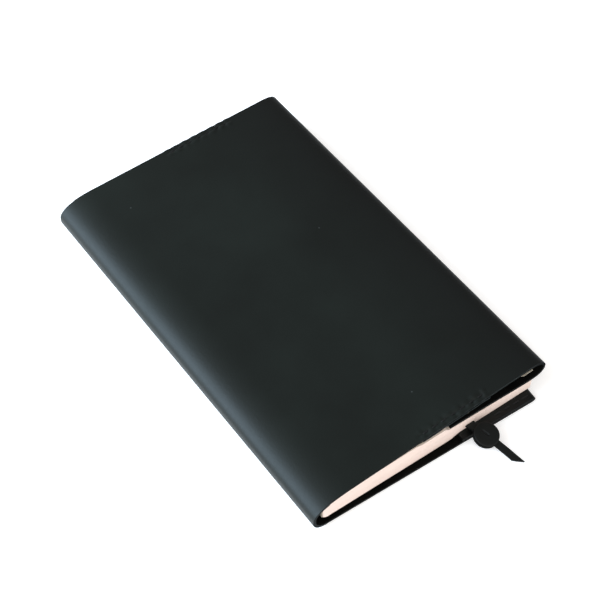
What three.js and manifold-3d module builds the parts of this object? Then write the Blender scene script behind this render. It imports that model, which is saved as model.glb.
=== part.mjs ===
// A slim notebook in a plain leather cover, closed and lying on its back.
//
// Millimetres, +Z up. X runs from the spine (-X) to the fore-edge (+X), Y from the tail (-Y) to the head
// (+Y). The origin is on the surface the cover rests on, under the middle of the front half.
//
// The leather is one cut piece: back flap, back, spine, front and front flap. It is divided here where it
// folds or flexes, so that the pockets stay open and the front half can turn about the spine.
// Neighbouring pieces keep a small running gap. The back half lies a little askew of the front half, and
// the notebook is racked a little between them.

import * as THREE from 'three';
import { mergeVertices } from 'three/addons/utils/BufferGeometryUtils.js';
import Module from 'manifold-3d';

// ---- Driving dimensions ----------------------------------------------------------------------------

const GAP = 0.25; // running gap between neighbouring pieces
const COVER_WIDTH = 115; // closed front half, spine to fore-edge
const COVER_LENGTH = 183; // closed cover, tail to head
const COVER_HEIGHT = 15.5; // closed cover, underneath to the top of the front panel
const LEATHER = 1.3; // thickness of the cover's leather

const SPINE_SEAM = -50; // where the spine's rounding runs out into the flat panels
const SPINE_ARC = -51; // centres of the spine's two rounded corners
const SPINE_RADIUS = 6.5; // outside radius of those corners

const FRONT_FOLD_HEIGHT = 6.5; // outside height of the loose fold at the front's fore-edge
const FRONT_FLAP_END = 8.5; // free inner end of the front flap
const FRONT_FLAP_RISE = 1.85; // how much higher the flap's inner end lies than its fold
const FRONT_FLAP_HEAD = 90;

const BACK_SKEW = THREE.MathUtils.degToRad(3.4); // the back half lies this far askew of the front
const BACK_CORNER = new THREE.Vector2(47.7, -97.2); // tail end of the line where the back panel folds
const BACK_FLAP_WIDTH = 34.8; // that line to the inner end of the back flap

const BAND_START = -4.6; // the retaining band, a strip sewn inside the front at head and tail
const BAND_END = 29;
const BAND_LENGTH = 182;
const BAND_THICKNESS = 0.9;

const NOTEBOOK_SPINE = -53.2; // outside of the notebook's spine
const NOTEBOOK_HINGE = -51; // where its two card covers start
const NOTEBOOK_FORE_EDGE = 51; // fore-edge of the notebook's front cover
const NOTEBOOK_BACK_EDGE = 47.2; // fore-edge of its back cover, inside the back pocket
const NOTEBOOK_LENGTH = 175;
const NOTEBOOK_TAIL = -91.85; // tail edge of the notebook, at the middle of its width
const NOTEBOOK_RACK = -0.0245; // slope of the notebook's tail and head edges in plan
const CARD = 0.4; // thickness of the notebook's card
const PAGES_SPINE = -52.3;
const PAGES_FORE_EDGE = 50;
const PAGES_PARTING = 8; // height of the parting between the two halves of the pages, at the spine
const PAGES_PARTING_FALL = 1.1; // how far the parting falls from the spine to the fore-edge
const LEAF = 0.35; // one turning leaf
const STEP_RUN = 2.9; // length over which card or pages step over a flap or the band

const THREAD = 0.4;
const STITCH_LENGTH = 3.3;
const STITCH_PITCH = 4.6;
const STITCH_ROOM = 0.2; // between the thread and its holes and grooves
const BAND_STITCHES = 7;
const BAND_STITCH_START = -3.9; // outer end of the first stitch in the band's lines
const BAND_STITCH_TAIL = -89.3;
const BAND_STITCH_HEAD = 89.6;
const FLAP_STITCH_INSET = 2.2; // from the edge of the back to its lines of stitches
const FLAP_STITCHES_TAIL = 4;
const FLAP_STITCHES_HEAD = 7;
const FLAP_STITCH_END = 0.6; // from the fold line to the nearest stitch

const STRAP_WIDTH = 4.4;
const STRAP_THICKNESS = 0.9;
const STRAP_HEIGHT = 5.45; // middle of the strap's thickness where it leaves the pages
const STRAP_ANCHOR = new THREE.Vector2(-46, 88.9); // its sewn end, at the head beyond the pages
const STRAP_EXIT = new THREE.Vector2(18.6, -93.1); // where it leaves the pages at the tail
const STRAP_SEWN = 2.6; // length of the sewn end lying on the back panel
const STRAP_CLIMB = 2.8; // length over which the strap climbs from there into the pages
const TAIL_START = new THREE.Vector2(18.9, -93.6); // start of the bookmark's free end
const TAIL_TURN = THREE.MathUtils.degToRad(14.5); // its direction, turned from -Y towards +X
const TAIL_SLOPE = THREE.MathUtils.degToRad(11.2); // it runs down to the table at this slope
const TAIL_LENGTH = 24; // to the point of its slanted tip
const TAIL_SLANT = 4.6; // how much shorter the other side is
const DISC_RADIUS = 5.2;
const DISC_THICKNESS = 0.7;
const DISC_CHAMFER = 0.15;
const DISC_CENTRE = 6.45; // along the free end
const DISC_GAP = 0.2;

const FOLD_SEGMENTS = 12;
const DISC_SEGMENTS = 32;
const THREAD_SIDES = 8;

// ---- Heights and lines that follow from them --------------------------------------------------------

const HALF_WIDTH = COVER_WIDTH / 2;
const HALF_LENGTH = COVER_LENGTH / 2;
const BEYOND = 2 * COVER_LENGTH; // far enough to pass right through anything

const BACK_CARD = LEATHER + GAP;
const PAGES_BOTTOM = BACK_CARD + CARD + GAP;
const BACK_FLAP = PAGES_BOTTOM;
const BACK_FLAP_TOP = BACK_FLAP + LEATHER;

const FRONT_INSIDE = COVER_HEIGHT - LEATHER;
const BAND_TOP = FRONT_INSIDE - GAP;
const BAND_BOTTOM = BAND_TOP - BAND_THICKNESS;
const CARD_TOP = FRONT_INSIDE - GAP;
const CARD_TOP_AT_BAND = BAND_BOTTOM - GAP;
const FLAP_AT_FOLD = COVER_HEIGHT - FRONT_FOLD_HEIGHT;

const FOLD_RADIUS = FRONT_FOLD_HEIGHT / 2;
const FOLD_CENTRE = HALF_WIDTH - FOLD_RADIUS;
const FRONT_OUTER = FOLD_CENTRE - GAP;
const PANEL_INNER = SPINE_SEAM + GAP;

// ---- Materials --------------------------------------------------------------------------------------

const finish = (color, roughness) => () => new THREE.MeshStandardMaterial({ color, roughness, metalness: 0 });
const LEATHER_BLACK = finish(0x1f2322, 0.5);
const THREAD_BLACK = finish(0x101113, 0.7);
const CARD_BUFF = finish(0xcfc6b4, 0.8);
const PAPER_CREAM = finish(0xf3e4d7, 0.9);

const cover = new THREE.Group();

function piece(name, geometry, material, parent = cover) {
  const mesh = new THREE.Mesh(geometry, material());
  mesh.name = name;
  parent.add(mesh);
}

// ---- Solids -----------------------------------------------------------------------------------------

const wasm = await Module();
wasm.setup();

/** A closed three.js geometry as a solid that can be cut and joined. */
function toSolid(geometry) {
  const bare = geometry.clone();
  bare.deleteAttribute('normal');
  bare.deleteAttribute('uv');
  const merged = mergeVertices(bare, 1e-4);
  return new wasm.Manifold(
    new wasm.Mesh({
      numProp: 3,
      vertProperties: new Float32Array(merged.attributes.position.array),
      triVerts: new Uint32Array(merged.index.array),
    }),
  );
}

/** Such a solid as a three.js geometry again. */
function toGeometry(solid) {
  const mesh = solid.getMesh();
  const geometry = new THREE.BufferGeometry();
  geometry.setAttribute('position', new THREE.BufferAttribute(new Float32Array(mesh.vertProperties), 3));
  geometry.setIndex(new THREE.BufferAttribute(new Uint32Array(mesh.triVerts), 1));
  geometry.computeVertexNormals();
  return geometry;
}

const shapeOf = (points) => new THREE.Shape(points.map(([x, y]) => new THREE.Vector2(x, y)));

/** An outline in plan, solid from one height to another. */
function slab(outline, low, high) {
  const geometry = new THREE.ExtrudeGeometry(shapeOf(outline), { depth: high - low, bevelEnabled: false });
  return geometry.translate(0, 0, low);
}

/** A section in X and Z, run along Y from tail to head. */
function run(section, tail, head) {
  const options = { depth: head - tail, bevelEnabled: false, curveSegments: FOLD_SEGMENTS };
  return new THREE.ExtrudeGeometry(section, options).rotateX(Math.PI / 2).translate(0, head, 0);
}

/** The part of a long section that stands over an outline in plan. */
function runWithin(section, outline) {
  const whole = toSolid(run(section, -BEYOND, BEYOND));
  return whole.intersect(toSolid(slab(outline, -BEYOND, BEYOND)));
}

const cut = (geometry, ...tools) =>
  toGeometry(tools.reduce((solid, tool) => solid.subtract(tool), toSolid(geometry)));

// ---- Thread -----------------------------------------------------------------------------------------

/**
 * A line of stitches: one thread that runs along the top, down through the layers and along underneath.
 * Returns the thread, and the holes and groove it needs in the layers it sews together.
 */
function sew({ start, angle, count, length = STITCH_LENGTH, pitch = STITCH_PITCH, top, bottom }) {
  const rod = (thickness, from, to) => {
    const axis = to.clone().sub(from);
    const geometry = new THREE.CylinderGeometry(thickness / 2, thickness / 2, axis.length(), THREAD_SIDES);
    const turn = new THREE.Quaternion().setFromUnitVectors(new THREE.Vector3(0, 1, 0), axis.normalize());
    const middle = from.clone().add(to).multiplyScalar(0.5);
    return toSolid(geometry.applyQuaternion(turn).translate(middle.x, middle.y, middle.z));
  };
  const line = (thickness) => {
    const over = thickness / 2;
    const rods = [];
    for (let index = 0; index < count; index += 1) {
      const near = index * pitch;
      const far = near + length;
      const above = (x, extra = 0) => new THREE.Vector3(x + extra, 0, top + THREAD / 2);
      const below = (x, extra = 0) => new THREE.Vector3(x + extra, 0, bottom + THREAD / 2);
      rods.push(rod(thickness, above(near, -over), above(far, over)));
      rods.push(rod(thickness, above(near), below(near)), rod(thickness, above(far), below(far)));
      if (index > 0) rods.push(rod(thickness, below(near - pitch + length, -over), below(near, over)));
    }
    const placed = new THREE.Matrix4().makeRotationZ(angle).setPosition(start[0], start[1], 0);
    return wasm.Manifold.union(rods).transform(placed.elements);
  };
  return { thread: toGeometry(line(THREAD)), room: line(THREAD + 2 * STITCH_ROOM) };
}

// ---- The back half: frame askew of the front ----------------------------------------------------------

const alongFold = new THREE.Vector2(Math.sin(BACK_SKEW), Math.cos(BACK_SKEW));
const alongTail = new THREE.Vector2(Math.cos(BACK_SKEW), -Math.sin(BACK_SKEW));

/** A point of the back half: u inwards from its fold line, v from its tail edge. */
function backPoint(u, v) {
  const point = BACK_CORNER.clone().addScaledVector(alongTail, -u).addScaledVector(alongFold, v);
  return [point.x, point.y];
}

/** The point of the back half that is v from its tail edge, at a given X. */
function backPointAt(x, v) {
  const [cornerX, cornerY] = backPoint(0, v);
  return [x, cornerY + (cornerX - x) * Math.tan(BACK_SKEW)];
}

const flapSeam = (v, count) => ({
  start: backPoint(FLAP_STITCH_END + (count - 1) * STITCH_PITCH + STITCH_LENGTH, v),
  angle: -BACK_SKEW,
  count,
  top: BACK_FLAP_TOP + 0.05,
  bottom: 0.1,
});
const flapTail = sew(flapSeam(FLAP_STITCH_INSET, FLAP_STITCHES_TAIL));
const flapHead = sew(flapSeam(COVER_LENGTH - FLAP_STITCH_INSET, FLAP_STITCHES_HEAD));

const strapRun = STRAP_EXIT.clone().sub(STRAP_ANCHOR);
const strapAngle = Math.atan2(strapRun.y, strapRun.x);
const strapDirection = strapRun.clone().normalize();

const anchorAcross = new THREE.Vector2(-strapDirection.y, strapDirection.x);
const anchorStart = STRAP_ANCHOR.clone()
  .addScaledVector(strapDirection, STRAP_SEWN / 2)
  .addScaledVector(anchorAcross, -1.5);
const anchor = sew({
  start: [anchorStart.x, anchorStart.y],
  angle: Math.atan2(anchorAcross.y, anchorAcross.x),
  count: 2,
  length: 1.1,
  pitch: 1.9,
  top: BACK_CARD + STRAP_THICKNESS + 0.05,
  bottom: 0.1,
});

function buildBack() {
  const panel = [
    backPointAt(PANEL_INNER, 0),
    backPoint(0, 0),
    backPoint(0, COVER_LENGTH),
    backPointAt(PANEL_INNER, COVER_LENGTH),
  ];
  const tools = [flapTail.room, flapHead.room, anchor.room];
  piece('back_panel', cut(slab(panel, 0, LEATHER), ...tools), LEATHER_BLACK);

  const outer = BACK_FLAP_TOP / 2;
  const fold = new THREE.Shape();
  fold.moveTo(0, 0);
  fold.absarc(0, outer, outer, -Math.PI / 2, Math.PI / 2, false);
  fold.lineTo(0, BACK_FLAP);
  fold.absarc(0, outer, outer - LEATHER, Math.PI / 2, -Math.PI / 2, true);
  fold.closePath();
  const [x, y] = backPoint(-GAP, 0);
  piece('back_fold', run(fold, 0, COVER_LENGTH).rotateZ(-BACK_SKEW).translate(x, y, 0), LEATHER_BLACK);

  const flap = [
    backPoint(BACK_FLAP_WIDTH, 0),
    backPoint(0, 0),
    backPoint(0, COVER_LENGTH),
    backPoint(BACK_FLAP_WIDTH, COVER_LENGTH),
  ];
  piece('back_flap', cut(slab(flap, BACK_FLAP, BACK_FLAP_TOP), flapTail.room, flapHead.room), LEATHER_BLACK);
  piece('back_flap_stitches_tail', flapTail.thread, THREAD_BLACK);
  piece('back_flap_stitches_head', flapHead.thread, THREAD_BLACK);
}

// ---- Spine and front half ---------------------------------------------------------------------------

function buildSpine() {
  const low = SPINE_RADIUS;
  const high = COVER_HEIGHT - SPINE_RADIUS;
  const inner = SPINE_RADIUS - LEATHER;
  const section = new THREE.Shape();
  section.moveTo(SPINE_SEAM, 0);
  section.lineTo(SPINE_ARC, 0);
  section.absarc(SPINE_ARC, low, SPINE_RADIUS, -Math.PI / 2, Math.PI, true);
  section.absarc(SPINE_ARC, high, SPINE_RADIUS, Math.PI, Math.PI / 2, true);
  section.lineTo(SPINE_SEAM, COVER_HEIGHT);
  section.lineTo(SPINE_SEAM, FRONT_INSIDE);
  section.absarc(SPINE_ARC, high, inner, Math.PI / 2, Math.PI, false);
  section.absarc(SPINE_ARC, low, inner, Math.PI, (3 * Math.PI) / 2, false);
  section.lineTo(SPINE_SEAM, LEATHER);
  section.closePath();
  piece('spine_wrap', run(section, -HALF_LENGTH, HALF_LENGTH), LEATHER_BLACK);
}

/** The Y of a line across the notebook that crosses the middle of its width at y. */
const racked = (x, y) => y + NOTEBOOK_RACK * (x - (PAGES_SPINE + PAGES_FORE_EDGE) / 2);

const flapTopAt = (x) =>
  FLAP_AT_FOLD + LEATHER + (FRONT_FLAP_RISE * (FRONT_OUTER - x)) / (FRONT_OUTER - FRONT_FLAP_END);

const bandSeam = (y) => ({
  start: [BAND_STITCH_START, y],
  angle: 0,
  count: BAND_STITCHES,
  top: COVER_HEIGHT + 0.1,
  bottom: BAND_BOTTOM,
});

function buildFront() {
  const tailSeam = sew(bandSeam(BAND_STITCH_TAIL));
  const headSeam = sew(bandSeam(BAND_STITCH_HEAD));
  const panel = [
    [PANEL_INNER, -HALF_LENGTH],
    [FRONT_OUTER, -HALF_LENGTH],
    [FRONT_OUTER, HALF_LENGTH],
    [PANEL_INNER, HALF_LENGTH],
  ];
  const panelSlab = slab(panel, FRONT_INSIDE, COVER_HEIGHT);
  piece('front_panel', cut(panelSlab, tailSeam.room, headSeam.room), LEATHER_BLACK);

  const band = [
    [BAND_START, -BAND_LENGTH / 2],
    [BAND_END, -BAND_LENGTH / 2],
    [BAND_END, BAND_LENGTH / 2],
    [BAND_START, BAND_LENGTH / 2],
  ];
  const bandSlab = slab(band, BAND_BOTTOM, BAND_TOP);
  piece('retaining_band', cut(bandSlab, tailSeam.room, headSeam.room), LEATHER_BLACK);
  piece('band_stitches_tail', tailSeam.thread, THREAD_BLACK);
  piece('band_stitches_head', headSeam.thread, THREAD_BLACK);

  const centre = COVER_HEIGHT - FOLD_RADIUS;
  const fold = new THREE.Shape();
  fold.moveTo(FOLD_CENTRE, COVER_HEIGHT);
  fold.absarc(FOLD_CENTRE, centre, FOLD_RADIUS, Math.PI / 2, -Math.PI / 2, true);
  fold.lineTo(FOLD_CENTRE, FLAP_AT_FOLD + LEATHER);
  fold.absarc(FOLD_CENTRE, centre, FOLD_RADIUS - LEATHER, -Math.PI / 2, Math.PI / 2, false);
  fold.closePath();
  piece('front_fold', run(fold, -HALF_LENGTH, HALF_LENGTH), LEATHER_BLACK);

  const flap = shapeOf([
    [FRONT_FLAP_END, flapTopAt(FRONT_FLAP_END) - LEATHER],
    [FRONT_OUTER, FLAP_AT_FOLD],
    [FRONT_OUTER, FLAP_AT_FOLD + LEATHER],
    [FRONT_FLAP_END, flapTopAt(FRONT_FLAP_END)],
  ]);
  const outline = [
    [FRONT_FLAP_END, racked(FRONT_FLAP_END, NOTEBOOK_TAIL)],
    [FRONT_OUTER, racked(FRONT_OUTER, NOTEBOOK_TAIL)],
    [FRONT_OUTER, FRONT_FLAP_HEAD],
    [FRONT_FLAP_END, FRONT_FLAP_HEAD],
  ];
  piece('front_flap', toGeometry(runWithin(flap, outline)), LEATHER_BLACK);
}

// ---- Notebook ---------------------------------------------------------------------------------------

/** The notebook's outline in plan between two X positions. */
function notebookOutline(start, end) {
  const head = NOTEBOOK_TAIL + NOTEBOOK_LENGTH;
  return [
    [start, racked(start, NOTEBOOK_TAIL)],
    [end, racked(end, NOTEBOOK_TAIL)],
    [end, racked(end, head)],
    [start, racked(start, head)],
  ];
}

const notebookRun = (section, start, end) => runWithin(shapeOf(section), notebookOutline(start, end));

function buildCard() {
  const back = notebookOutline(NOTEBOOK_HINGE, NOTEBOOK_BACK_EDGE);
  piece('notebook_back_cover', slab(back, BACK_CARD, BACK_CARD + CARD), CARD_BUFF);

  const spine = notebookOutline(NOTEBOOK_SPINE, NOTEBOOK_SPINE + CARD);
  piece('notebook_spine', slab(spine, PAGES_BOTTOM, CARD_TOP - CARD - GAP), CARD_BUFF);

  const top = [
    [NOTEBOOK_HINGE, CARD_TOP],
    [BAND_START - GAP - STEP_RUN, CARD_TOP],
    [BAND_START - GAP, CARD_TOP_AT_BAND],
    [BAND_END + GAP, CARD_TOP_AT_BAND],
    [BAND_END + GAP + STEP_RUN, CARD_TOP],
    [NOTEBOOK_FORE_EDGE, CARD_TOP],
  ];
  const under = top.map(([x, z]) => [x, z - CARD]).reverse();
  const front = notebookRun([...under, ...top], NOTEBOOK_HINGE, NOTEBOOK_FORE_EDGE);
  piece('notebook_front_cover', toGeometry(front), CARD_BUFF);
}

/** Height of the parting between the two halves of the pages, lifted or lowered by an offset. */
function parting(x, offset) {
  const share = (x - PAGES_SPINE) / (PAGES_FORE_EDGE - PAGES_SPINE);
  return [x, PAGES_PARTING - PAGES_PARTING_FALL * share + offset];
}

function buildPages() {
  const clear = LEAF + 1.6 * GAP; // from the parting to either stack, past one leaf
  const underCard = (x, top) => [x, top - CARD - GAP];
  const underFlap = (x) => [x, flapTopAt(x) - LEATHER - GAP];
  const upper = [
    parting(PAGES_SPINE, clear),
    parting(PAGES_FORE_EDGE, clear),
    underFlap(PAGES_FORE_EDGE),
    underFlap(FRONT_FLAP_END - GAP),
    underCard(FRONT_FLAP_END - GAP - STEP_RUN, CARD_TOP_AT_BAND),
    underCard(BAND_START - GAP, CARD_TOP_AT_BAND),
    underCard(BAND_START - GAP - STEP_RUN, CARD_TOP),
    underCard(PAGES_SPINE, CARD_TOP),
  ];
  piece('upper_leaves', toGeometry(notebookRun(upper, PAGES_SPINE, PAGES_FORE_EDGE)), PAPER_CREAM);

  const leaf = (low) => [
    parting(PAGES_SPINE, low),
    parting(PAGES_FORE_EDGE, low),
    parting(PAGES_FORE_EDGE, low + LEAF),
    parting(PAGES_SPINE, low + LEAF),
  ];
  const outline = [PAGES_SPINE, PAGES_FORE_EDGE];
  piece('leaf_1', toGeometry(notebookRun(leaf(-GAP / 2 - LEAF), ...outline)), PAPER_CREAM);
  piece('leaf_2', toGeometry(notebookRun(leaf(GAP / 2), ...outline)), PAPER_CREAM);

  const lower = [
    [PAGES_SPINE, PAGES_BOTTOM],
    [PAGES_FORE_EDGE, PAGES_BOTTOM],
    parting(PAGES_FORE_EDGE, -clear),
    parting(PAGES_SPINE, -clear),
  ];
  const flapRoom = slab(
    [
      backPoint(BACK_FLAP_WIDTH + GAP, -BEYOND),
      backPoint(-BEYOND, -BEYOND),
      backPoint(-BEYOND, BEYOND),
      backPoint(BACK_FLAP_WIDTH + GAP, BEYOND),
    ],
    -BEYOND,
    BACK_FLAP_TOP + GAP,
  );
  const strapSide = STRAP_WIDTH / 2 + GAP;
  const strapRoom = slab(
    [
      [-BEYOND, -strapSide],
      [BEYOND, -strapSide],
      [BEYOND, strapSide],
      [-BEYOND, strapSide],
    ],
    -BEYOND,
    STRAP_HEIGHT + STRAP_THICKNESS / 2 + GAP,
  );
  strapRoom.rotateZ(strapAngle).translate(STRAP_EXIT.x, STRAP_EXIT.y, 0);
  const block = notebookRun(lower, PAGES_SPINE, PAGES_FORE_EDGE);
  const cleared = block.subtract(toSolid(flapRoom)).subtract(toSolid(strapRoom));
  piece('lower_leaves', toGeometry(cleared), PAPER_CREAM);
}

// ---- Bookmark ---------------------------------------------------------------------------------------

/** A side view, z over the distance along the strap, given the strap's width. */
function ribbon(side) {
  const geometry = new THREE.ExtrudeGeometry(shapeOf(side), { depth: STRAP_WIDTH, bevelEnabled: false });
  return geometry.rotateX(Math.PI / 2).translate(0, STRAP_WIDTH / 2, 0);
}

function buildBookmark() {
  const half = STRAP_THICKNESS / 2;
  const low = STRAP_HEIGHT - half;
  const high = STRAP_HEIGHT + half;
  const end = strapRun.length();
  const strap = ribbon([
    [0, BACK_CARD],
    [STRAP_SEWN, BACK_CARD],
    [STRAP_SEWN + STRAP_CLIMB, low],
    [end, low],
    [end, high],
    [STRAP_SEWN + STRAP_CLIMB - 0.6, high],
    [STRAP_SEWN - 0.6, BACK_CARD + STRAP_THICKNESS],
    [0, BACK_CARD + STRAP_THICKNESS],
  ]);
  strap.rotateZ(strapAngle).translate(STRAP_ANCHOR.x, STRAP_ANCHOR.y, 0);
  piece('bookmark_strap', cut(strap, anchor.room), LEATHER_BLACK);
  piece('bookmark_anchor_stitch', anchor.thread, THREAD_BLACK);

  const turned = new THREE.Group();
  turned.position.set(TAIL_START.x, TAIL_START.y, STRAP_HEIGHT);
  turned.rotation.z = TAIL_TURN - Math.PI / 2;
  const free = new THREE.Group();
  free.rotation.y = TAIL_SLOPE;
  turned.add(free);
  cover.add(turned);

  const edge = STRAP_WIDTH / 2;
  const tail = [
    [0, -edge],
    [TAIL_LENGTH - TAIL_SLANT, -edge],
    [TAIL_LENGTH, edge],
    [0, edge],
  ];
  piece('bookmark_tail', slab(tail, -half, half), LEATHER_BLACK, free);

  const rim = DISC_RADIUS - DISC_CHAMFER;
  const profile = [
    [0, 0],
    [rim, 0],
    [DISC_RADIUS, DISC_CHAMFER],
    [DISC_RADIUS, DISC_THICKNESS - DISC_CHAMFER],
    [rim, DISC_THICKNESS],
    [0, DISC_THICKNESS],
  ].map(([radius, height]) => new THREE.Vector2(radius, height));
  const disc = (low) =>
    new THREE.LatheGeometry(profile, DISC_SEGMENTS).rotateX(Math.PI / 2).translate(DISC_CENTRE, 0, low);
  piece('stopper_disc_lower', disc(-half - DISC_GAP - DISC_THICKNESS), LEATHER_BLACK, free);
  piece('stopper_disc_upper', disc(half + DISC_GAP), LEATHER_BLACK, free);
}

buildBack();
buildSpine();
buildFront();
buildCard();
buildPages();
buildBookmark();

export default cover;
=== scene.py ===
"""A slim notebook in a black leather cover with a strap bookmark, lying closed on a pale table."""

import math

import bpy
from bpy.props import FloatProperty, FloatVectorProperty, IntProperty, PointerProperty
from mathutils import Matrix, Vector, noise


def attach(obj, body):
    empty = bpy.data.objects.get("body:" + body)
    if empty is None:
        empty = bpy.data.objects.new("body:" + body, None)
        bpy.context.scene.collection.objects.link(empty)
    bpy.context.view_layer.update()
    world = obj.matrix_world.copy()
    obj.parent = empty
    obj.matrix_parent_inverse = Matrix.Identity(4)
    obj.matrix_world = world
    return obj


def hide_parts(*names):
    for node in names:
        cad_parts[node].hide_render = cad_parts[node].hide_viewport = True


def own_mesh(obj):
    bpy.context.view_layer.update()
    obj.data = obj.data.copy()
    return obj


bl_info = {
    "name": "Leather Notebook Cover",
    "version": (1, 0, 0),
    "blender": (4, 5, 0),
    "location": "3D View > Sidebar > Notebook",
    "description": "Builds a leather notebook cover with its notebook and strap bookmark",
    "category": "Add Mesh",
}

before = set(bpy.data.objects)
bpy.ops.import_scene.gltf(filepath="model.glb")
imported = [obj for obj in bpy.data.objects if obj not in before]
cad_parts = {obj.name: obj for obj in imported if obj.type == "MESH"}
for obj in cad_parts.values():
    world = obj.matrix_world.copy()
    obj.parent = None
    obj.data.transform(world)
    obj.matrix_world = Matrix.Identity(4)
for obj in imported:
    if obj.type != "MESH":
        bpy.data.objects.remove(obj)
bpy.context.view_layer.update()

MM = 0.001


# ---- Properties --------------------------------------------------------------------------------------


def length(name, description, default_mm):
    """A length property, given in millimetres and kept in metres."""
    return FloatProperty(
        name=name, description=description, default=default_mm * MM, min=0.0, unit="LENGTH", precision=5
    )


def place(name, description, default_mm):
    """A position along an axis, given in millimetres and kept in metres."""
    return FloatProperty(
        name=name, description=description, default=default_mm * MM, unit="LENGTH", precision=5
    )


def angle(name, description, degrees):
    """An angle property, given in degrees."""
    return FloatProperty(name=name, description=description, default=math.radians(degrees), subtype="ANGLE")


def colour(name, description, default):
    """A colour property."""
    return FloatVectorProperty(
        name=name, description=description, default=default, size=3, min=0.0, max=1.0, subtype="COLOR"
    )


class LeatherSettings(bpy.types.PropertyGroup):
    """Sizes of the leather cover."""

    length: length("Length", "Tail to head of the leather", 183.0)
    thickness: length("Leather", "Thickness of the leather", 1.3)
    height: length("Closed height", "Underneath to the top of the front", 15.5)
    spine: place("Spine", "Outermost line of the spine", -57.5)
    seam: place("Spine seam", "Line where the spine's leather runs out into the flat panels", -50.0)
    shoulder: length("Shoulder", "How far the front curves down towards the spine", 18.0)
    nose: place("Front fold", "Outermost line of the loose fold at the front", 57.5)
    front_flap_end: place("Front flap", "Inner end of the front flap", 8.5)
    back_flap_width: length("Back flap", "Back fold to the inner end of the back flap", 34.8)
    back_skew: angle("Back skew", "How far the back half lies askew of the front half", 3.4)


class NotebookSettings(bpy.types.PropertyGroup):
    """Sizes of the notebook inside the cover."""

    length: length("Length", "Tail to head of the notebook", 175.0)
    spine: place("Spine", "Spine side of the pages", -52.3)
    fore_edge: place("Fore-edge", "Fore-edge of the pages", 50.0)
    tail: place("Tail", "Tail edge of the notebook at the middle of its width", -91.85)
    rack: FloatProperty(name="Rack", description="Slope of its tail edge in plan", default=-0.0245)
    card: length("Card", "Thickness of the card cover", 0.35)


class StitchSettings(bpy.types.PropertyGroup):
    """The stitches of the retaining band and the back flap."""

    thread: length("Thread", "Thickness of the thread", 0.55)
    length: length("Stitch", "Length of one stitch", 3.3)
    pitch: length("Pitch", "Distance from one stitch to the next", 4.6)
    count: IntProperty(name="Count", description="Stitches at each end of the band", default=7, min=1)


class BookmarkSettings(bpy.types.PropertyGroup):
    """The strap bookmark and the round stopper on it."""

    width: length("Width", "Width of the strap", 3.8)
    thickness: length("Thickness", "Thickness of the strap", 0.9)
    disc: length("Stopper", "Radius of the round stopper", 5.2)


class FinishSettings(bpy.types.PropertyGroup):
    """Colours of the materials."""

    leather: colour("Leather", "Smooth side of the leather", (0.0038, 0.0061, 0.0048))
    flesh: colour("Flesh side", "Rough side of the leather", (0.0026, 0.0027, 0.0024))
    cut_edge: colour("Cut edge", "Cut edge of the leather", (0.0035, 0.0040, 0.0038))
    page: colour("Page", "Face of a leaf", (0.82, 0.70, 0.62))
    # Painted highlight: this lighter cut-edge colour stands in for light caught along the edges' top corners.
    worn_edge: colour("Worn edge", "Cut edge where handling has rubbed it lighter", (0.022, 0.028, 0.029))
    thread: colour("Thread", "Waxed thread", (0.0030, 0.0030, 0.0035))
    card: colour("Card", "Card cover of the notebook", (0.40, 0.355, 0.285))
    paper: colour("Paper", "Edges of the pages", (0.85, 0.685, 0.607))
    floor: colour("Table", "Table under the cover", (0.93, 0.93, 0.93))


class NotebookScene(bpy.types.PropertyGroup):
    """Everything that can be changed."""

    leather: PointerProperty(type=LeatherSettings)
    notebook: PointerProperty(type=NotebookSettings)
    stitches: PointerProperty(type=StitchSettings)
    bookmark: PointerProperty(type=BookmarkSettings)
    finish: PointerProperty(type=FinishSettings)


def settings():
    """The scene's settings."""
    return bpy.context.scene.notebook_cover


# ---- Materials ---------------------------------------------------------------------------------------


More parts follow.
